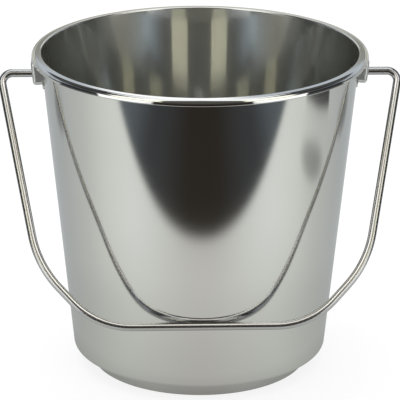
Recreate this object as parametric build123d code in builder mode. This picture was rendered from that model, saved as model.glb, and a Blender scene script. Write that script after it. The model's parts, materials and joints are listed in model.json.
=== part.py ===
from build123d import *
import math
import os

os.makedirs("parts", exist_ok=True)

# Feed bucket: a drawn and tapered steel pail, its foot ring, two pressed ears and a wire bail.
# Frame: the pail stands on Z = 0 with its axis on Z. The bail turns on a line along X and hangs
# to the front, which is -Y.

# Pail, millimetres
SHEET = 0.9
PAIL_TOP = 279.4
RIM_RADIUS = 143.6
RIM_HEIGHT = 5.4
RIM_OUTER_ROUND = 3.4
RIM_INNER_ROUND = 1.2
RIM_LOWER_ROUND = 0.7
RIM_CURL_GAP = 0.5
WALL_TOP_RADIUS = 135.8
FLOOR_UNDERSIDE = 13.3
FLOOR_CORNER_RADIUS = 110.1
FLOOR_ROUND = 4.0

# Foot ring
FOOT_RADIUS = 94.0
FOOT_SHEET = 1.2
FOOT_FLANGE_WIDTH = 8.0
FOOT_BEND = 2.4
FOOT_EDGE_ROUND = 0.5

# Ears, measured square to the wall and along it from the bail's line
EAR_SHEET = 1.2
EAR_WIDTH = 22.0
EAR_STAND_OFF = 8.7
EAR_DROP = 7.9
EAR_CORNER = 4.0
EAR_ROUND = 3.0
EAR_FLANGE_DROP = 11.6
EAR_FLANGE_SIDE = 3.0
EAR_FLANGE_CORNER = 5.0
EAR_RIM_GAP = 0.2

# Bail
BAIL_HEIGHT = 259.8
WIRE_RADIUS = 3.5
HOLE_RADIUS = 3.9
HEAD_RADIUS = 4.9
HEAD_START = 138.6
HEAD_END = 140.6
LEG_TOP_HALF_WIDTH = 170.3
LEG_LEAN_DEG = 10.7
LEG_END_DEPTH = 141.9
SHOULDER_RADIUS = 8.5
UPPER_CURVE_RADIUS = 91.0
UPPER_CURVE_END_DEG = 42.7
LOWER_CURVE_RADIUS = 66.3
BAIL_REACH = 220.7
WALL_GAP = 0.05

rim_underside = PAIL_TOP - RIM_HEIGHT
taper = math.atan((WALL_TOP_RADIUS - FLOOR_CORNER_RADIUS) / (rim_underside - FLOOR_UNDERSIDE))
inner_shift = SHEET / math.cos(taper)


def wall_radius(height):
    return WALL_TOP_RADIUS + (height - rim_underside) * math.tan(taper)


def corner(sketch, radius, height):
    return sketch.vertices().sort_by_distance((radius, height, 0))[0]


# Pail, one drawn sheet from the floor up the wall and out round the rolled rim
rim_roof = PAIL_TOP - SHEET
curl_top = rim_underside + SHEET
curl_end = wall_radius(curl_top) + RIM_CURL_GAP
floor_top = FLOOR_UNDERSIDE + SHEET
rim_inner_corner = wall_radius(PAIL_TOP) - inner_shift
floor_inner_corner = wall_radius(floor_top) - inner_shift

with BuildPart() as bucket_shell:
    with BuildSketch(Plane.XZ) as sheet_section:
        with BuildLine():
            Polyline(
                (0, FLOOR_UNDERSIDE),
                (FLOOR_CORNER_RADIUS, FLOOR_UNDERSIDE),
                (wall_radius(rim_roof), rim_roof),
                (RIM_RADIUS - SHEET, rim_roof),
                (RIM_RADIUS - SHEET, curl_top),
                (curl_end, curl_top),
                (curl_end, rim_underside),
                (RIM_RADIUS, rim_underside),
                (RIM_RADIUS, PAIL_TOP),
                (rim_inner_corner, PAIL_TOP),
                (floor_inner_corner, floor_top),
                (0, floor_top),
                close=True,
            )
        make_face()
        fillet(corner(sheet_section, FLOOR_CORNER_RADIUS, FLOOR_UNDERSIDE), FLOOR_ROUND)
        fillet(corner(sheet_section, floor_inner_corner, floor_top), FLOOR_ROUND - SHEET)
        fillet(corner(sheet_section, rim_inner_corner, PAIL_TOP), RIM_INNER_ROUND)
        fillet(corner(sheet_section, wall_radius(rim_roof), rim_roof), RIM_INNER_ROUND - SHEET)
        fillet(corner(sheet_section, RIM_RADIUS, PAIL_TOP), RIM_OUTER_ROUND)
        fillet(corner(sheet_section, RIM_RADIUS - SHEET, rim_roof), RIM_OUTER_ROUND - SHEET)
        fillet(corner(sheet_section, RIM_RADIUS, rim_underside), RIM_LOWER_ROUND)
    revolve(axis=Axis.Z)

bucket_shell.part.label = "bucket_shell"
export_step(bucket_shell.part, "parts/bucket_shell.step")

# Foot ring, a band with its top edge turned in and welded under the floor
foot_inner = FOOT_RADIUS - FOOT_SHEET
flange_inner = foot_inner - FOOT_FLANGE_WIDTH
flange_underside = FLOOR_UNDERSIDE - FOOT_SHEET

with BuildPart() as foot_ring:
    with BuildSketch(Plane.XZ) as band_section:
        with BuildLine():
            Polyline(
                (foot_inner, 0),
                (FOOT_RADIUS, 0),
                (FOOT_RADIUS, FLOOR_UNDERSIDE),
                (flange_inner, FLOOR_UNDERSIDE),
                (flange_inner, flange_underside),
                (foot_inner, flange_underside),
                close=True,
            )
        make_face()
        fillet(corner(band_section, FOOT_RADIUS, FLOOR_UNDERSIDE), FOOT_BEND)
        fillet(corner(band_section, foot_inner, flange_underside), FOOT_BEND - FOOT_SHEET)
        fillet(corner(band_section, FOOT_RADIUS, 0), FOOT_EDGE_ROUND)
        fillet(corner(band_section, foot_inner, 0), FOOT_EDGE_ROUND)
    revolve(axis=Axis.Z)

foot_ring.part.label = "foot_ring"
export_step(foot_ring.part, "parts/foot_ring.step")


# Ears: a pressed box, closed on all sides and rounded at its face, with a flange welded to the
# wall round it. The bail's line passes through the face.
off_wall = (math.cos(taper), 0, -math.sin(taper))
ear_reach = (rim_underside - EAR_RIM_GAP - BAIL_HEIGHT) / math.cos(taper)
ear_depth = EAR_STAND_OFF + EAR_ROUND
flange_width = EAR_WIDTH + 2 * EAR_FLANGE_SIDE
flange_bottom = BAIL_HEIGHT - EAR_FLANGE_DROP * math.cos(taper)
flange_top = rim_underside - EAR_RIM_GAP
flange_shift = EAR_SHEET / math.cos(taper)
wall_bottom = FLOOR_UNDERSIDE + FLOOR_ROUND


def ear_plane(off):
    origin = (wall_radius(BAIL_HEIGHT) + off * off_wall[0], 0, BAIL_HEIGHT + off * off_wall[2])
    return Plane(origin=origin, x_dir=(0, 1, 0), z_dir=off_wall)


with BuildPart() as wall_envelope:
    with BuildSketch(Plane.XZ):
        with BuildLine():
            Polyline(
                (0, wall_bottom),
                (wall_radius(wall_bottom), wall_bottom),
                (wall_radius(PAIL_TOP), PAIL_TOP),
                (0, PAIL_TOP),
                close=True,
            )
        make_face()
    revolve(axis=Axis.Z)

with BuildPart() as ear_hollow:
    with BuildSketch(ear_plane(EAR_STAND_OFF - EAR_SHEET)):
        with Locations((0, (ear_reach - EAR_DROP) / 2)):
            RectangleRounded(
                EAR_WIDTH - 2 * EAR_SHEET,
                ear_reach + EAR_DROP - 2 * EAR_SHEET,
                EAR_CORNER - EAR_SHEET,
            )
    extrude(amount=-ear_depth)
    fillet(ear_hollow.faces().sort_by(Axis.X)[-1].edges(), EAR_ROUND - EAR_SHEET)

with BuildPart() as ear_box:
    with BuildSketch(ear_plane(EAR_STAND_OFF)):
        with Locations((0, (ear_reach - EAR_DROP) / 2)):
            RectangleRounded(EAR_WIDTH, ear_reach + EAR_DROP, EAR_CORNER)
    extrude(amount=-ear_depth)
    fillet(ear_box.faces().sort_by(Axis.X)[-1].edges(), EAR_ROUND)

with BuildPart() as ear:
    with BuildSketch(Plane.XZ):
        with BuildLine():
            Polyline(
                (wall_radius(flange_bottom), flange_bottom),
                (wall_radius(flange_bottom) + flange_shift, flange_bottom),
                (wall_radius(flange_top) + flange_shift, flange_top),
                (wall_radius(flange_top), flange_top),
                close=True,
            )
        make_face()
    revolve(axis=Axis.Z)
    with BuildSketch(Plane.YZ):
        with Locations((0, (flange_top + flange_bottom) / 2)):
            RectangleRounded(flange_width, flange_top - flange_bottom, EAR_FLANGE_CORNER)
    extrude(amount=RIM_RADIUS, mode=Mode.INTERSECT)
    add(ear_box.part)
    add(ear_hollow.part, mode=Mode.SUBTRACT)
    add(wall_envelope.part, mode=Mode.SUBTRACT)
    with BuildSketch(Plane.YZ.offset(HEAD_END)):
        with Locations((0, BAIL_HEIGHT)):
            Circle(HOLE_RADIUS)
    extrude(amount=ear_depth, mode=Mode.SUBTRACT)

for ear_name, ear_turn in {"left_ear": 180, "right_ear": 0}.items():
    ear_part = ear.part.rotate(Axis.Z, ear_turn)
    ear_part.label = ear_name
    export_step(ear_part, "parts/" + ear_name + ".step")

# Bail: one round wire with a headed end inside each ear, resting against the front of the wall
rest_reach = math.cos(taper) * wall_radius(BAIL_HEIGHT) + WIRE_RADIUS + WALL_GAP
rest_lean = math.asin(rest_reach / BAIL_REACH) - taper
bail_plane = Plane(
    origin=(0, 0, BAIL_HEIGHT),
    x_dir=(1, 0, 0),
    z_dir=(0, -math.cos(rest_lean), math.sin(rest_lean)),
)
lean = math.radians(LEG_LEAN_DEG)
curve_end = math.radians(UPPER_CURVE_END_DEG)
shoulder_turn = 90 + LEG_LEAN_DEG
shoulder_length = SHOULDER_RADIUS * math.tan(math.radians(shoulder_turn / 2))
upper_drop = UPPER_CURVE_RADIUS * (math.sin(curve_end) - math.sin(lean))
lower_drop = LOWER_CURVE_RADIUS * (1 - math.sin(curve_end))
link_length = (BAIL_REACH - LEG_END_DEPTH - upper_drop - lower_drop) / math.cos(curve_end)
leg_length = LEG_END_DEPTH / math.cos(lean) - shoulder_length

with BuildPart() as bail:
    with BuildLine(bail_plane) as bail_line:
        stub = Line((-HEAD_START, 0), (shoulder_length - LEG_TOP_HALF_WIDTH, 0))
        shoulder = JernArc(stub @ 1, stub % 1, SHOULDER_RADIUS, shoulder_turn)
        leg = PolarLine(shoulder @ 1, leg_length, direction=shoulder % 1)
        upper_curve = JernArc(leg @ 1, leg % 1, UPPER_CURVE_RADIUS, UPPER_CURVE_END_DEG - LEG_LEAN_DEG)
        link = PolarLine(upper_curve @ 1, link_length, direction=upper_curve % 1)
        lower_curve = JernArc(link @ 1, link % 1, LOWER_CURVE_RADIUS, 90 - UPPER_CURVE_END_DEG)
        grip = Line(lower_curve @ 1, (0, -BAIL_REACH))
        mirror(about=Plane.YZ)
    with BuildSketch(Plane(origin=bail_line.line @ 0, z_dir=bail_line.line % 0)):
        Circle(WIRE_RADIUS)
    sweep(path=bail_line.line)
    for side in (-1, 1):
        with BuildSketch(Plane.YZ.offset(side * HEAD_START)):
            with Locations((0, BAIL_HEIGHT)):
                Circle(HEAD_RADIUS)
        extrude(amount=side * (HEAD_END - HEAD_START))

bail.part.label = "bail"
export_step(bail.part, "parts/bail.step")
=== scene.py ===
import bpy
import json
import math
from mathutils import Matrix, Vector


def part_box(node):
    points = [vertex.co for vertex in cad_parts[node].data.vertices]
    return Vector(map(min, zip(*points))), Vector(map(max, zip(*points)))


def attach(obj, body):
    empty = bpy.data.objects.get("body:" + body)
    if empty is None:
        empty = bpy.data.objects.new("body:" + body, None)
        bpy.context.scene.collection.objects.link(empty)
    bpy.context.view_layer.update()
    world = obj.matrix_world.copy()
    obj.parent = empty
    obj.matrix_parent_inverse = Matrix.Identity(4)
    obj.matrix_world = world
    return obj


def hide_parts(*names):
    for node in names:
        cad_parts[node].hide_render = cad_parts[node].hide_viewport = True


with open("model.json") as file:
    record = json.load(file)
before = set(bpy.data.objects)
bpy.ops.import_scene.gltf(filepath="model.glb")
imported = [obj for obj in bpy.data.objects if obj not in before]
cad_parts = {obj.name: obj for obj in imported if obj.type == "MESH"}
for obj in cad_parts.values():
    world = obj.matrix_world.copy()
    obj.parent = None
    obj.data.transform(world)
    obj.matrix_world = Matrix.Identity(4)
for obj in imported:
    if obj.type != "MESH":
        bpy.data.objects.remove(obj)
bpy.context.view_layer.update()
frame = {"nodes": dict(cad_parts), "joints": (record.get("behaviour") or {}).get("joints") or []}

# ---------------------------------------------------------------- sizes of the pieces, in metres
SHEET = 0.0009
WALL_TOP_RADIUS = 0.1358
FLOOR_CORNER_RADIUS = 0.1101
FLOOR_ROUND = 0.004
RIM_HEIGHT = 0.0054
RIM_OUTER_ROUND = 0.0034
RIM_INNER_ROUND = 0.0012
RIM_LOWER_ROUND = 0.0007
RIM_CURL_GAP = 0.0005
CURL_BEND = 0.0005
CURL_EDGE_ROUND = 0.00025

FOOT_SHEET = 0.0012
FOOT_FLANGE = 0.008
FOOT_BEND = 0.0024
FOOT_EDGE_ROUND = 0.0005

WIRE_RADIUS = 0.0035
HEAD_RADIUS = 0.0049
HEAD_START = 0.1386
HEAD_END = 0.1406
LEG_TOP_HALF_WIDTH = 0.1703
LEG_LEAN = math.radians(10.7)
LEG_END_DEPTH = 0.1419
SHOULDER_RADIUS = 0.0085
UPPER_CURVE_RADIUS = 0.091
UPPER_CURVE_END = math.radians(42.7)
LOWER_CURVE_RADIUS = 0.0663
BAIL_REACH = 0.2207

# ---------------------------------------------------------------- fineness of the meshes
LATHE_STEPS = 512
WIRE_STEPS = 32
SHEET_ARC_STEP = math.radians(6)
WIRE_ARC_STEP = math.radians(3)
ARC_GUARD = 0.0003
WALL_SPAN = 0.006
FOOT_SPAN = 0.003
WIRE_SPAN = 0.004
ON_AXIS = 0.000001
ON_FLAT = 0.0001
RIM_LIP = 0.0004

shell_low, shell_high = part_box("bucket_shell")
foot_low, foot_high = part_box("foot_ring")
bail_low, bail_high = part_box("bail")
rim_radius = (shell_high.x - shell_low.x) / 2
rim_top = shell_high.z
rim_underside = rim_top - RIM_HEIGHT
floor_underside = shell_low.z
floor_top = floor_underside + SHEET
foot_radius = (foot_high.x - foot_low.x) / 2
pivot = Vector(frame["joints"][0]["pos_m"])
taper = math.atan((WALL_TOP_RADIUS - FLOOR_CORNER_RADIUS) / (rim_underside - floor_underside))
inner_shift = SHEET / math.cos(taper)


def wall_radius(height):
    """The outer radius of the tapered wall."""
    return WALL_TOP_RADIUS + (height - rim_underside) * math.tan(taper)


# ---------------------------------------------------------------- mesh building
def rounded(corners, arc_step):
    """A polyline through (x, y, radius) corners, with an arc of that radius at each. A short span
    either side of an arc keeps the smooth shading of the flat stretches flat."""
    points = []
    for i, (x, y, radius) in enumerate(corners):
        here = Vector((x, y))
        if radius == 0 or i in (0, len(corners) - 1):
            points.append(here)
            continue
        before = (Vector(corners[i - 1][:2]) - here).normalized()
        after = (Vector(corners[i + 1][:2]) - here).normalized()
        inside = before.angle(after)
        turn = math.pi - inside
        reach = radius / math.tan(inside / 2)
        centre = here + (before + after).normalized() * (radius / math.sin(inside / 2))
        start = here + before * reach - centre
        side = 1 if before.x * after.y - before.y * after.x < 0 else -1
        count = max(2, math.ceil(turn / arc_step))
        if (points[-1] - here).length > reach + 2 * ARC_GUARD:
            points.append(here + before * (reach + ARC_GUARD))
        for k in range(count + 1):
            points.append(centre + Matrix.Rotation(side * turn * k / count, 2) @ start)
        room = (Vector(corners[i + 1][:2]) - here).length
        if room > reach + corners[i + 1][2] + 2 * ARC_GUARD:
            points.append(here + after * (reach + ARC_GUARD))
    return points


def divided(points, longest):
    """The same polyline with no span longer than longest."""
    result = [points[0]]
    for a, b in zip(points, points[1:]):
        count = max(1, math.ceil((b - a).length / longest))
        result += [a.lerp(b, (k + 1) / count) for k in range(count)]
    return result


def finished(name, verts, faces, metals, body, node, kinds):
    mesh = bpy.data.meshes.new(name)
    mesh.from_pydata(verts, [], faces)
    mesh.validate()
    for metal in metals:
        mesh.materials.append(metal)
    mesh.polygons.foreach_set("material_index", kinds)
    mesh.polygons.foreach_set("use_smooth", [True] * len(mesh.polygons))
    piece = bpy.data.objects.new(name, mesh)
    bpy.context.scene.collection.objects.link(piece)
    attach(piece, body)
    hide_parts(node)
    return piece


def lathe(name, profile, span_kinds, metals, node):
    """Turns a closed profile of (radius, height) about Z. span_kinds gives each span's metal."""
    verts, faces, kinds, rings = [], [], [], []
    for radius, height in profile:
        if radius < ON_AXIS:
            rings.append([len(verts)])
            verts.append((0, 0, height))
            continue
        rings.append(range(len(verts), len(verts) + LATHE_STEPS))
        for k in range(LATHE_STEPS):
            angle = 2 * math.pi * k / LATHE_STEPS
            verts.append((radius * math.cos(angle), radius * math.sin(angle), height))
    for i, kind in enumerate(span_kinds):
        low, high = rings[i], rings[(i + 1) % len(rings)]
        if len(low) == 1 and len(high) == 1:
            continue
        for k in range(LATHE_STEPS):
            after = (k + 1) % LATHE_STEPS
            quad = [low[k % len(low)], low[after % len(low)]]
            quad += [high[after % len(high)], high[k % len(high)]]
            faces.append(list(dict.fromkeys(quad)))
            kinds.append(kind)
    finished(name, verts, faces, metals, "pail", node, kinds)


# ---------------------------------------------------------------- material building
def node_material(name):
    material = bpy.data.materials.new(name)
    material.use_nodes = True
    return material, material.node_tree


def add(tree, kind, inputs=None, **settings):
    """Adds a node. A socket in inputs is linked, and anything else is the input's value."""
    node = tree.nodes.new(kind)
    for key, value in settings.items():
        setattr(node, key, value)
    for key, value in (inputs or {}).items():
        if isinstance(value, bpy.types.NodeSocket):
            tree.links.new(value, node.inputs[key])
        else:
            node.inputs[key].default_value = value
    return node


def surface(tree, shader):
    tree.links.new(shader.outputs[0], tree.nodes["Material Output"].inputs["Surface"])


def maths(tree, operation, a, b=0.0):
    return add(tree, "ShaderNodeMath", {0: a, 1: b}, operation=operation).outputs[0]


def blend(tree, how, factor, a, b):
    """Mixes two colours. Inputs 6 and 7 are the two colours of a Mix node."""
    node = add(tree, "ShaderNodeMix", {6: a, 7: b}, data_type="RGBA", blend_type=how)
    if isinstance(factor, bpy.types.NodeSocket):
        tree.links.new(factor, node.inputs["Factor"])
    else:
        node.inputs["Factor"].default_value = factor
    return node.outputs[2]


def remap(tree, value, start, end, kind="LINEAR"):
    """Carries the range start of value over to the range end, and holds it there past the ends."""
    limits = {"From Min": start[0], "From Max": start[1], "To Min": end[0], "To Max": end[1]}
    node = add(tree, "ShaderNodeMapRange", {"Value": value, **limits}, interpolation_type=kind)
    return node.outputs["Result"]


def step(tree, value, at, soft):
    """0 below at and 1 above it, with a soft change between."""
    return remap(tree, value, (at - soft, at + soft), (0.0, 1.0), "SMOOTHSTEP")


def between(tree, value, low, high, soft):
    """1 from low to high and 0 elsewhere, with soft changes between."""
    below = step(tree, maths(tree, "MULTIPLY", value, -1.0), -high, soft)
    return maths(tree, "MULTIPLY", step(tree, value, low, soft), below)


def ramp(tree, value, stops, mode="EASE"):
    """A colour that follows value through (value, colour) stops."""
    node = add(tree, "ShaderNodeValToRGB", {"Fac": value})
    bar = node.color_ramp
    bar.interpolation = mode
    while len(bar.elements) > 1:
        bar.elements.remove(bar.elements[-1])
    bar.elements[0].position = stops[0][0]
    bar.elements[0].color = (*stops[0][1], 1)
    for position, colour in stops[1:]:
        bar.elements.new(position).color = (*colour, 1)
    return node.outputs["Color"]


# ---------------------------------------------------------------- metals
# A grain is in cells of noise per metre along X, Y and Z, so RING_GRAIN runs round the pail.
STEEL = (0.66, 0.66, 0.65)
WARM_STEEL = (0.655, 0.655, 0.635)
SATIN_STEEL = (0.6, 0.6, 0.59)
EAR_STEEL = (0.71, 0.72, 0.72)
WIRE_STEEL = (0.50, 0.50, 0.51)
RING_GRAIN = (6.0, 6.0, 1400.0)
EAR_GRAIN = (300.0, 300.0, 300.0)
WIRE_GRAIN = (60.0, 60.0, 60.0)
GRAIN_NOISE = {"Scale": 1.0, "Detail": 4.0}
CLOUD_NOISE = {"Scale": 14.0, "Detail": 3.0}
WAVE_NOISE = {"Scale": 9.0, "Detail": 1.0}
MIXED_NOISE = (0.6, 1.4)
CLOUD_TINT = (0.96, 1.03)
GRAIN_REACH = 0.0001
WAVE_REACH = 0.001
HAZE_ROUGH = 0.3
QUARTER_TURN = 0.25


def steel(name, colour, grain, rough, swing, aniso=0.0, depth=0.0, wave=0.0, haze=0.0):
    """Turned, pressed or drawn steel: a grain of that depth, uneven tint, a roughness that varies
    by swing either way, and for some a slight wave, or a share of haze under the polish."""
    material, tree = node_material(name)
    shader = tree.nodes["Principled BSDF"]
    coords = add(tree, "ShaderNodeTexCoord").outputs["Object"]
    stretched = add(tree, "ShaderNodeMapping", {"Vector": coords, "Scale": grain}).outputs["Vector"]
    fine = add(tree, "ShaderNodeTexNoise", {"Vector": stretched, **GRAIN_NOISE}).outputs["Fac"]
    cloud = add(tree, "ShaderNodeTexNoise", {"Vector": coords, **CLOUD_NOISE}).outputs["Fac"]
    mixed = maths(tree, "ADD", fine, cloud)
    gloss = remap(tree, mixed, MIXED_NOISE, (rough - swing, rough + swing))
    tint = remap(tree, cloud, (0.0, 1.0), CLOUD_TINT)
    tree.links.new(gloss, shader.inputs["Roughness"])
    tree.links.new(blend(tree, "MULTIPLY", 1.0, (*colour, 1), tint), shader.inputs["Base Color"])
    shader.inputs["Metallic"].default_value = 1.0
    bump = add(tree, "ShaderNodeBump", {"Height": fine, "Strength": depth, "Distance": GRAIN_REACH})
    if wave:
        wide = add(tree, "ShaderNodeTexNoise", {"Vector": coords, **WAVE_NOISE}).outputs["Fac"]
        swell = add(tree, "ShaderNodeBump", {"Height": wide, "Strength": wave, "Distance": WAVE_REACH})
        tree.links.new(swell.outputs["Normal"], bump.inputs["Normal"])
    tree.links.new(bump.outputs["Normal"], shader.inputs["Normal"])
    if aniso:
        shader.inputs["Anisotropic"].default_value = aniso
        shader.inputs["Anisotropic Rotation"].default_value = QUARTER_TURN
        tangent = add(tree, "ShaderNodeTangent", direction_type="RADIAL", axis="Z")
        tree.links.new(tangent.outputs["Tangent"], shader.inputs["Tangent"])
    if haze:
        soft = {"Color": (*colour, 1), "Roughness": HAZE_ROUGH, "Normal": bump.outputs["Normal"]}
        wide = add(tree, "ShaderNodeBsdfAnisotropic", soft)
        both = add(tree, "ShaderNodeMixShader", {"Fac": haze, 1: shader.outputs[0], 2: wide.outputs[0]})
        surface(tree, both)
    return material


OUTSIDE, INSIDE, UNDERSIDE, RIM = range(4)
shell_metals = [
    steel("polished_outside", STEEL, RING_GRAIN, rough=0.085, swing=0.02, aniso=0.6, depth=0.02, wave=0.02),
    steel("brushed_inside", WARM_STEEL, RING_GRAIN, rough=0.045, swing=0.004, aniso=0.5, haze=0.27),
    steel("satin_underside", SATIN_STEEL, RING_GRAIN, rough=0.3, swing=0.05, aniso=0.5, depth=0.2),
    steel("polished_rim", STEEL, RING_GRAIN, rough=0.05, swing=0.01, aniso=0.3),
]
foot_metal = steel("satin_foot", SATIN_STEEL, RING_GRAIN, rough=0.2, swing=0.04, aniso=0.6, depth=0.15)
ear_metal = steel("pressed_ear", EAR_STEEL, EAR_GRAIN, rough=0.38, swing=0.05, depth=0.1)
wire_metal = steel("drawn_wire", WIRE_STEEL, WIRE_GRAIN, rough=0.19, swing=0.006)


# ---------------------------------------------------------------- pail
def shell_kind(middle):
    """Which of the shell's metals shows at a point of its outline."""
    if middle.y < floor_underside + ON_FLAT:
        return UNDERSIDE
    if middle.x < wall_radius(middle.y) - inner_shift / 2 and middle.y < rim_top - RIM_LIP:
        return INSIDE
    if middle.y > rim_underside - ON_FLAT:
        return RIM
    return OUTSIDE


def make_pail():
    """The outline runs out along the underside, up the wall, round inside the hollow rim and back
    over its outside, then down the inner face to the middle of the floor."""
    roof = rim_top - SHEET
    curl_top = rim_underside + SHEET
    curl_end = wall_radius(curl_top) + RIM_CURL_GAP
    rim_inner = wall_radius(rim_top) - inner_shift
    corners = [
        (0, floor_underside, 0),
        (FLOOR_CORNER_RADIUS, floor_underside, FLOOR_ROUND),
        (wall_radius(roof), roof, RIM_INNER_ROUND - SHEET),
        (rim_radius - SHEET, roof, RIM_OUTER_ROUND - SHEET),
        (rim_radius - SHEET, curl_top, CURL_BEND),
        (curl_end, curl_top, CURL_EDGE_ROUND),
        (curl_end, rim_underside, CURL_EDGE_ROUND),
        (rim_radius, rim_underside, RIM_LOWER_ROUND),
        (rim_radius, rim_top, RIM_OUTER_ROUND),
        (rim_inner, rim_top, RIM_INNER_ROUND),
        (wall_radius(floor_top) - inner_shift, floor_top, FLOOR_ROUND - SHEET),
        (0, floor_top, 0),
    ]
    profile = divided(rounded(corners, SHEET_ARC_STEP), WALL_SPAN)
    kinds = [shell_kind((a + b) / 2) for a, b in zip(profile, profile[1:])]
    lathe("pail_shell", profile, kinds, shell_metals, "bucket_shell")


def make_foot():
    inner = foot_radius - FOOT_SHEET
    flange_inner = inner - FOOT_FLANGE
    flange_low = foot_high.z - FOOT_SHEET
    corners = [
        (flange_inner, flange_low, 0),
        (inner, flange_low, FOOT_BEND - FOOT_SHEET),
        (inner, 0, FOOT_EDGE_ROUND),
        (foot_radius, 0, FOOT_EDGE_ROUND),
        (foot_radius, foot_high.z, FOOT_BEND),
        (flange_inner, foot_high.z, 0),
    ]
    profile = divided(rounded(corners, SHEET_ARC_STEP), FOOT_SPAN)
    lathe("foot_band", profile, [0] * len(profile), [foot_metal], "foot_ring")


# ---------------------------------------------------------------- bail
# The head on each end: how far along it a ring is, and the ring's share of the head's radius.
HEAD_SHAPE = [(0, 0.1), (0, 0.85), (0.2, 1), (0.8, 1), (1, 0.85)]


def bail_line():
    """The wire's centre line in its own plane, as (across, along), from one head to the other."""
    sin_leg, cos_leg = math.sin(LEG_LEAN), math.cos(LEG_LEAN)
    upper_reach = UPPER_CURVE_RADIUS * math.tan((UPPER_CURVE_END - LEG_LEAN) / 2)
    upper_x = LEG_TOP_HALF_WIDTH - LEG_END_DEPTH * math.tan(LEG_LEAN) - upper_reach * sin_leg
    upper_y = -LEG_END_DEPTH - upper_reach * cos_leg
    lower_x = upper_x - (BAIL_REACH + upper_y) * math.tan(UPPER_CURVE_END)
    half = [
        (HEAD_START, 0, 0),
        (LEG_TOP_HALF_WIDTH, 0, SHOULDER_RADIUS),
        (upper_x, upper_y, UPPER_CURVE_RADIUS),
        (lower_x, -BAIL_REACH, LOWER_CURVE_RADIUS),
    ]
    corners = half + [(-x, y, r) for x, y, r in reversed(half)]
    return divided(rounded(corners, WIRE_ARC_STEP), WIRE_SPAN)


def make_bail():
    """The wire's line is leant forward to where the CAD bail rests, and a ring of points is set
    square to it at each place."""
    line = bail_line()
    low_y = bail_low.y + WIRE_RADIUS - pivot.y
    lean = math.asin(-low_y / BAIL_REACH)
    along = Vector((0, math.sin(lean), math.cos(lean)))
    across = Vector((1, 0, 0))
    square = across.cross(along)
    head = [(HEAD_START + t * (HEAD_END - HEAD_START), HEAD_RADIUS * share) for t, share in HEAD_SHAPE]
    head.append((HEAD_END, WIRE_RADIUS))
    rings = [(pivot + across * x, along, radius) for x, radius in head]
    for before, here, after in zip(line, line[1:], line[2:]):
        heading = (after - before).normalized()
        side = across * -heading.y + along * heading.x
        rings.append((pivot + across * here.x + along * here.y, side, WIRE_RADIUS))
    rings += [(pivot - across * x, along, radius) for x, radius in reversed(head)]
    verts, faces = [], []
    for centre, side, radius in rings:
        for k in range(WIRE_STEPS):
            angle = 2 * math.pi * k / WIRE_STEPS
            verts.append(centre + side * (radius * math.cos(angle)) + square * (radius * math.sin(angle)))
    for low in range(0, (len(rings) - 1) * WIRE_STEPS, WIRE_STEPS):
        high = low + WIRE_STEPS
        for k in range(WIRE_STEPS):
            after = (k + 1) % WIRE_STEPS
            faces.append([low + k, low + after, high + after, high + k])
    last = (len(rings) - 1) * WIRE_STEPS
    faces.append(list(range(WIRE_STEPS - 1, -1, -1)))
    faces.append(list(range(last, last + WIRE_STEPS)))
    return finished("bail_wire", verts, faces, [wire_metal], "bail", "bail", [0] * len(faces))


# ---------------------------------------------------------------- painted reflections: what the steel mirrors
# Painted reflections: the table, the room and the ceiling are glowing cards that only mirror rays see,
# and their colours paint the light and shade that shows in the steel. A turn runs from 0 straight in
# front of the pail, on -Y, to 1 straight behind it, and is alike on both sides. An edge is (place,
# softness), a band is (low, high, softness), and a ramp is (place, colour) stops.
ROOM_RADIUS = 1.2
ROOM_HEIGHT = (-0.02, 2.1)
ROOM_STEPS = 96
ROOM_FLOOR_REACH = (-6, 6)
ROOM_FLOOR_COLOUR = (0.06, 0.045, 0.035)
ROOM_FLOOR_GLOW = 0.5
CEILING_X = (-0.9, 0.9)
CEILING_Y = (-1.0, 1.2)
CEILING_COLOUR = (0.97, 1.0, 1.0)
CEILING_GLOW = 1.4
CEILING_TURN = (0.174, 0.006)
CEILING_LEAST = 0.1
ROOM_DARK = [
    (0.0, (0.11, 0.105, 0.085)),
    (0.13, (0.11, 0.105, 0.085)),
    (0.4, (0.12, 0.12, 0.12)),
    (0.5, (0.03, 0.03, 0.03)),
    (0.62, (0.06, 0.06, 0.06)),
    (0.74, (0.28, 0.28, 0.26)),
    (1.0, (0.34, 0.34, 0.30)),
]
LOW_TOP = (0.455, 0.015)
ROOM_LOW = [
    (0.0, (0.05, 0.045, 0.045)),
    (0.17, (0.05, 0.045, 0.045)),
    (0.40, (0.02, 0.02, 0.02)),
    (0.60, (0.03, 0.03, 0.03)),
    (0.68, (0.50, 0.51, 0.50)),
    (1.0, (0.66, 0.67, 0.66)),
]
SILL_TURN = (0.65, 1.0)
SILL_HEIGHT = (0.610, 0.505)
WINDOW_BAND = (0.0, 0.08, 0.015)
ROOM_WINDOWS = [
    (0.42, (0.12, 0.13, 0.14)),
    (0.50, (0.45, 0.53, 0.62)),
    (0.57, (0.93, 1.12, 1.35)),
    (0.66, (1.40, 1.66, 1.95)),
    (0.78, (1.05, 1.18, 1.28)),
    (0.86, (0.86, 0.90, 0.88)),
    (1.0, (0.70, 0.68, 0.60)),
]
TOP_TURN = (0.70, 0.05)
TOP_EDGE_TURN = (0.86, 0.94)
TOP_EDGE_HEIGHT = (0.70, 0.645)
TOP_EDGE_SOFT = 0.015
TOP_BRIGHT_HEIGHT = (0.93, 0.04)
TOP_BRIGHT_TURN = (0.975, 0.008)
TOP_DIM = (0.60, 0.66, 0.72)
ROOM_TOP = [
    (0.89, (0.06, 0.06, 0.06)),
    (0.92, (0.30, 0.31, 0.32)),
    (0.95, (1.4, 1.43, 1.45)),
]
SHELF_HEIGHT = (0.35, 0.455, 0.012)
SHELF_TURN = (0.57, 0.02)
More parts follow.
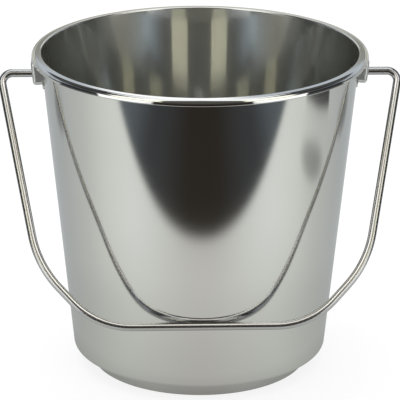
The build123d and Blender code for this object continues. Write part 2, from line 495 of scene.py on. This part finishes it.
ROOM_SHELF = [
    (0.59, (1.30, 1.37, 1.43)),
    (0.64, (0.90, 0.96, 1.03)),
    (0.74, (0.50, 0.52, 0.53)),
    (0.775, (0.55, 0.55, 0.50)),
    (0.79, (0.92, 0.90, 0.70)),
    (0.87, (0.92, 0.90, 0.70)),
    (0.90, (0.22, 0.21, 0.18)),
    (1.0, (0.19, 0.19, 0.17)),
]
LAMP_TURN = (0.148, 0.342, 0.008)
LAMP_HEIGHT = (0.605, 0.95, 0.02)
ROOM_LAMP = [
    (0.60, (2.45, 2.4, 1.95)),
    (0.70, (2.25, 2.2, 1.7)),
    (0.80, (1.6, 1.55, 1.1)),
    (0.9, (1.35, 1.3, 0.9)),
]
WHITE_TURN = (0.174, 0.385, 0.006)
WHITE_GAP = (0.46, 0.95, 0.02)
SIDE_WHITE = (1.7, 1.7, 1.65)

TABLE_X = (-1.3, 1.3)
TABLE_Y = (-0.85, 1.4)
TABLE_HEIGHT = -0.0005
TABLE_FRONT = 0.372
TABLE_FRONT_BEND = 0.085
TABLE_FRONT_SOFT = 0.016
TABLE_FAR = (0.31, 0.11)
# Painted reflection: how brightly the table card glows round the pail, near it and farther out.
TABLE_AROUND_NEAR = [
    (0.0, (0.72, 0.71, 0.67)),
    (0.1, (0.75, 0.75, 0.71)),
    (0.25, (0.80, 0.82, 0.77)),
    (0.35, (0.74, 0.76, 0.71)),
    (0.5, (0.61, 0.63, 0.60)),
    (0.65, (0.53, 0.55, 0.54)),
    (0.8, (0.47, 0.50, 0.51)),
    (1.0, (0.60, 0.62, 0.63)),
]
TABLE_AROUND_FAR = [
    (0.0, (0.71, 0.70, 0.66)),
    (0.1, (0.74, 0.74, 0.70)),
    (0.25, (1.00, 1.04, 0.99)),
    (0.4, (0.84, 0.86, 0.80)),
    (0.5, (0.68, 0.70, 0.66)),
    (0.65, (0.53, 0.55, 0.54)),
    (0.8, (0.47, 0.50, 0.51)),
    (1.0, (0.60, 0.62, 0.63)),
]
# Painted shade: the table card glows dimmer close to the pail, a contact shadow painted into its
# reflection.
TABLE_NEAR_PAINTED_SHADE = [(0.09, (0.50, 0.50, 0.50)), (0.15, (0.84, 0.84, 0.84)), (0.30, (1.0, 1.0, 1.0))]
# Ovals of painted shade on the table card: the middle's x and y, the half widths in x and y, the least
# share left.
TABLE_PAINTED_SHADES = [
    (0.52, -0.05, 0.06, 0.14, 0.5),
    (0.56, 0.36, 0.07, 0.14, 0.45),
    (-0.56, 0.36, 0.07, 0.12, 0.5),
]
BESIDE_SIDE = (0.76, 0.01)
BESIDE_AHEAD = (-0.25, 0.01)
BESIDE_GREY = (0.10, 0.10, 0.10)
# A dark patch painted into the table card's reflection, on the right: its band in x, its band in y and its
# grey.
DARK_PATCH_X = (0.65, 0.85, 0.008)
DARK_PATCH_Y = (-0.18, 0.11, 0.008)
DARK_PATCH_GREY = (0.06, 0.06, 0.06)
CORNER_FAR = (0.945, 0.01)
ROOM_ACROSS = [(0.05, (0.034, 0.029, 0.023)), (0.3, (0.055, 0.057, 0.06)), (0.5, (0.12, 0.14, 0.155))]


def glow(tree, colour, strength=1.0):
    """Makes the material shine with that colour and nothing else."""
    surface(tree, add(tree, "ShaderNodeEmission", {"Color": colour, "Strength": strength}))


def turn_from_front(tree, place):
    """How far round from -Y a point is, from 0 in front to 1 behind, the same on either side."""
    split = add(tree, "ShaderNodeSeparateXYZ", {"Vector": place})
    side = maths(tree, "ABSOLUTE", split.outputs["X"])
    ahead = maths(tree, "MULTIPLY", split.outputs["Y"], -1.0)
    return maths(tree, "DIVIDE", maths(tree, "ARCTAN2", side, ahead), math.pi)


def oval(tree, x, y, centre_x, centre_y, half_x, half_y, least):
    """least at the middle of an oval, rising to 1 at its edge and beyond."""
    across = maths(tree, "DIVIDE", maths(tree, "SUBTRACT", x, centre_x), half_x)
    along = maths(tree, "DIVIDE", maths(tree, "SUBTRACT", y, centre_y), half_y)
    spread = maths(tree, "ADD", maths(tree, "POWER", across, 2.0), maths(tree, "POWER", along, 2.0))
    return remap(tree, spread, (0.0, 1.0), (least, 1.0), "SMOOTHSTEP")


def table_glow():
    """A glowing card, painted as a white table for the steel to mirror: painted shade close beside the
    pail, dim behind it, a few ovals of painted shade, a dark stretch beside it and a painted dark patch.
    Past its bowed front edge is the dark room."""
    material, tree = node_material("table_glow")
    place = add(tree, "ShaderNodeTexCoord").outputs["Object"]
    split = add(tree, "ShaderNodeSeparateXYZ", {"Vector": place})
    x, y = split.outputs["X"], split.outputs["Y"]
    side = maths(tree, "ABSOLUTE", x)
    ahead = maths(tree, "MULTIPLY", y, -1.0)
    distance = add(tree, "ShaderNodeVectorMath", {0: place}, operation="LENGTH").outputs["Value"]
    turn = turn_from_front(tree, place)
    around_near = ramp(tree, turn, TABLE_AROUND_NEAR, "B_SPLINE")
    around_far = ramp(tree, turn, TABLE_AROUND_FAR, "B_SPLINE")
    white = blend(tree, "MIX", step(tree, distance, *TABLE_FAR), around_near, around_far)
    # Painted shade: dimmer close to the pail.
    white = blend(tree, "MULTIPLY", 1.0, white, ramp(tree, distance, TABLE_NEAR_PAINTED_SHADE, "LINEAR"))
    # Painted shade: the ovals darken the table card's glow.
    for shade in TABLE_PAINTED_SHADES:
        white = blend(tree, "MULTIPLY", 1.0, white, oval(tree, x, y, *shade))
    beside = maths(tree, "MULTIPLY", step(tree, side, *BESIDE_SIDE), step(tree, ahead, *BESIDE_AHEAD))
    white = blend(tree, "MIX", beside, white, (*BESIDE_GREY, 1))
    # A painted dark patch on the right of the table card.
    dark_patch = maths(tree, "MULTIPLY", between(tree, x, *DARK_PATCH_X), between(tree, y, *DARK_PATCH_Y))
    white = blend(tree, "MIX", dark_patch, white, (*DARK_PATCH_GREY, 1))
    bend = maths(tree, "MULTIPLY", maths(tree, "POWER", side, 2.0), TABLE_FRONT_BEND)
    past = maths(tree, "SUBTRACT", maths(tree, "SUBTRACT", bend, TABLE_FRONT), y)
    beyond = step(tree, past, 0.0, TABLE_FRONT_SOFT)
    colour = blend(tree, "MIX", beyond, white, ramp(tree, side, ROOM_ACROSS))
    # Painted highlight: far out at the front sides the table card glows white.
    corner = maths(tree, "MULTIPLY", between(tree, turn, *WHITE_TURN), step(tree, distance, *CORNER_FAR))
    glow(tree, blend(tree, "MIX", corner, colour, (*SIDE_WHITE, 1)))
    return material


def room_glow():
    """A glowing card round the table that paints the room the steel mirrors, dark in front: two tall lamps
    there, white above and below them, and behind the pail a shelf, a strip of windows over it and white
    near the ceiling, all painted reflections."""
    material, tree = node_material("room_glow")
    place = add(tree, "ShaderNodeTexCoord").outputs["Object"]
    height = add(tree, "ShaderNodeSeparateXYZ", {"Vector": place}).outputs["Z"]
    turn = turn_from_front(tree, place)
    low_down = maths(tree, "SUBTRACT", 1.0, step(tree, height, *LOW_TOP))
    colour = blend(tree, "MIX", low_down, ramp(tree, turn, ROOM_DARK), ramp(tree, turn, ROOM_LOW))

    above_sill = maths(tree, "SUBTRACT", height, remap(tree, turn, SILL_TURN, SILL_HEIGHT))
    windows = between(tree, above_sill, *WINDOW_BAND)
    colour = blend(tree, "MIX", windows, colour, ramp(tree, turn, ROOM_WINDOWS))

    above_edge = maths(tree, "SUBTRACT", height, remap(tree, turn, TOP_EDGE_TURN, TOP_EDGE_HEIGHT))
    top = maths(tree, "MULTIPLY", step(tree, above_edge, 0.0, TOP_EDGE_SOFT), step(tree, turn, *TOP_TURN))
    bright_high = step(tree, height, *TOP_BRIGHT_HEIGHT)
    bright = maths(tree, "MAXIMUM", bright_high, step(tree, turn, *TOP_BRIGHT_TURN))
    top_colour = blend(tree, "MIX", bright, (*TOP_DIM, 1), ramp(tree, turn, ROOM_TOP))
    colour = blend(tree, "MIX", top, colour, top_colour)

    shelf = maths(tree, "MULTIPLY", between(tree, height, *SHELF_HEIGHT), step(tree, turn, *SHELF_TURN))
    colour = blend(tree, "MIX", shelf, colour, ramp(tree, turn, ROOM_SHELF, "LINEAR"))

    lamp = maths(tree, "MULTIPLY", between(tree, turn, *LAMP_TURN), between(tree, height, *LAMP_HEIGHT))
    colour = blend(tree, "MIX", lamp, colour, ramp(tree, height, ROOM_LAMP))

    off_lamp = maths(tree, "SUBTRACT", 1.0, between(tree, height, *WHITE_GAP))
    white = maths(tree, "MULTIPLY", between(tree, turn, *WHITE_TURN), off_lamp)
    glow(tree, blend(tree, "MIX", white, colour, (*SIDE_WHITE, 1)))
    return material


# A dark glow under the room, a painted reflection for the steel to mirror.
def room_floor_glow():
    material, tree = node_material("room_dark")
    glow(tree, (*ROOM_FLOOR_COLOUR, 1), ROOM_FLOOR_GLOW)
    return material


def ceiling_glow():
    """A glowing card that paints white overhead for the steel to mirror, but for the stretch straight in
    front.
    """
    material, tree = node_material("ceiling_glow")
    place = add(tree, "ShaderNodeTexCoord").outputs["Object"]
    lit = maths(tree, "MAXIMUM", step(tree, turn_from_front(tree, place), *CEILING_TURN), CEILING_LEAST)
    glow(tree, (*CEILING_COLOUR, 1), maths(tree, "MULTIPLY", lit, CEILING_GLOW))
    return material


# ---------------------------------------------------------------- studio
FLOOR_REACH = (-20, 20)
FLOOR_GREY = 0.16
FLOOR_GLOW = 0.86
FLOOR_ROUGH = 0.9
WHITE = (1, 1, 1, 1)
BAIL_LIGHT_COLOUR = (1.0, 0.95, 0.84)


def floor_paint():
    """A pale floor that the pail shades a little where it stands."""
    material, tree = node_material("floor_paint")
    shader = tree.nodes["Principled BSDF"]
    shader.inputs["Base Color"].default_value = (FLOOR_GREY, FLOOR_GREY, FLOOR_GREY, 1)
    shader.inputs["Roughness"].default_value = FLOOR_ROUGH
    shader.inputs["Specular IOR Level"].default_value = 0.0
    shader.inputs["Emission Color"].default_value = WHITE
    shader.inputs["Emission Strength"].default_value = FLOOR_GLOW
    return material


def card(name, corners, faces, material, mirror_only=True):
    """A thin surface of the studio, seen by mirror rays alone or by all other rays."""
    mesh = bpy.data.meshes.new(name)
    mesh.from_pydata(corners, [], faces)
    mesh.materials.append(material)
    thing = bpy.data.objects.new(name, mesh)
    bpy.context.scene.collection.objects.link(thing)
    if mirror_only:
        thing.visible_camera = False
        thing.visible_diffuse = False
        thing.visible_shadow = False
    else:
        thing.visible_glossy = False


def flat(name, xs, ys, height, material, mirror_only=True):
    """A level card over the range xs by ys."""
    left, right = xs
    front, back = ys
    around = [(left, front), (right, front), (right, back), (left, back)]
    card(name, [(x, y, height) for x, y in around], [(0, 1, 2, 3)], material, mirror_only)


def ring(name, radius, heights, material):
    """A round wall about the pail."""
    around = [2 * math.pi * k / ROOM_STEPS for k in range(ROOM_STEPS)]
    corners = [(radius * math.sin(a), radius * math.cos(a), z) for z in heights for a in around]
    faces = []
    for k in range(ROOM_STEPS):
        after = (k + 1) % ROOM_STEPS
        faces.append((k, after, after + ROOM_STEPS, k + ROOM_STEPS))
    card(name, corners, faces, material)


def overhead(name, power, width, place):
    """A square area light that shines straight down."""
    lamp = bpy.data.lights.new(name, "AREA")
    lamp.shape = "RECTANGLE"
    lamp.size = width
    lamp.size_y = width
    lamp.energy = power
    light = bpy.data.objects.new(name, lamp)
    light.location = place
    bpy.context.scene.collection.objects.link(light)
    return light


def make_studio(wire):
    """The cards, which glow to paint the reflections in the steel, a white world that mirror rays don't
    see, a soft light overhead and a small warm light for the bail alone."""
    # Painted reflections: the table, room floor, room and ceiling cards glow and only mirror rays see them.
    flat("table", TABLE_X, TABLE_Y, TABLE_HEIGHT, table_glow())
    flat("room_floor", ROOM_FLOOR_REACH, ROOM_FLOOR_REACH, ROOM_HEIGHT[0], room_floor_glow())
    ring("room", ROOM_RADIUS, ROOM_HEIGHT, room_glow())
    flat("ceiling", CEILING_X, CEILING_Y, ROOM_HEIGHT[1], ceiling_glow())
    flat("floor", FLOOR_REACH, FLOOR_REACH, 0, floor_paint(), mirror_only=False)
    world = bpy.data.worlds.new("studio")
    bpy.context.scene.world = world
    world.use_nodes = True
    back = world.node_tree.nodes["Background"]
    back.inputs["Color"].default_value = WHITE
    back.inputs["Strength"].default_value = 1.0
    world.cycles_visibility.glossy = False
    top = overhead("top_light", power=18, width=1.6, place=(-0.3, 0.2, 2.2))
    top.visible_glossy = False
    bail_only = bpy.data.collections.new("bail_only")
    bail_only.objects.link(wire)
    small = overhead("bail_light", power=0.55, width=0.34, place=(0, -0.36, 0.6))
    small.data.color = BAIL_LIGHT_COLOUR
    small.light_linking.receiver_collection = bail_only
    small.visible_camera = False


# ---------------------------------------------------------------- camera
CAMERA_YAW = math.radians(2.0)
CAMERA_PITCH = 0.3446
CAMERA_ROLL = 0.0036
CAMERA_AWAY = 2.128
CAMERA_UP = 0.9073
CAMERA_LENS = 234.0
CAMERA_SENSOR = 36.0
CAMERA_SHIFT = 0.001


def make_camera():
    """A long lens that looks down on the pail from the front, with the left ear a little nearer."""
    data = bpy.data.cameras.new("camera")
    data.sensor_width = CAMERA_SENSOR
    data.lens = CAMERA_LENS
    data.shift_x = CAMERA_SHIFT
    camera = bpy.data.objects.new("camera", data)
    bpy.context.scene.collection.objects.link(camera)
    place = (-CAMERA_AWAY * math.sin(CAMERA_YAW), -CAMERA_AWAY * math.cos(CAMERA_YAW), CAMERA_UP)
    yaw = Matrix.Rotation(-CAMERA_YAW, 4, "Z")
    pitch = Matrix.Rotation(math.pi / 2 - CAMERA_PITCH, 4, "X")
    roll = Matrix.Rotation(CAMERA_ROLL, 4, "Z")
    camera.matrix_world = Matrix.Translation(place) @ yaw @ pitch @ roll
    bpy.context.scene.camera = camera


# ---------------------------------------------------------------- the scene
MIRROR_BOUNCES = 10

make_camera()
make_pail()
make_foot()
wire = make_bail()
for ear in ("left_ear", "right_ear"):
    node = frame["nodes"][ear]
    node.data.materials.clear()
    node.data.materials.append(ear_metal)
make_studio(wire)

scene = bpy.context.scene
scene.cycles.glossy_bounces = MIRROR_BOUNCES
scene.cycles.caustics_reflective = False
scene.view_settings.view_transform = "Standard"
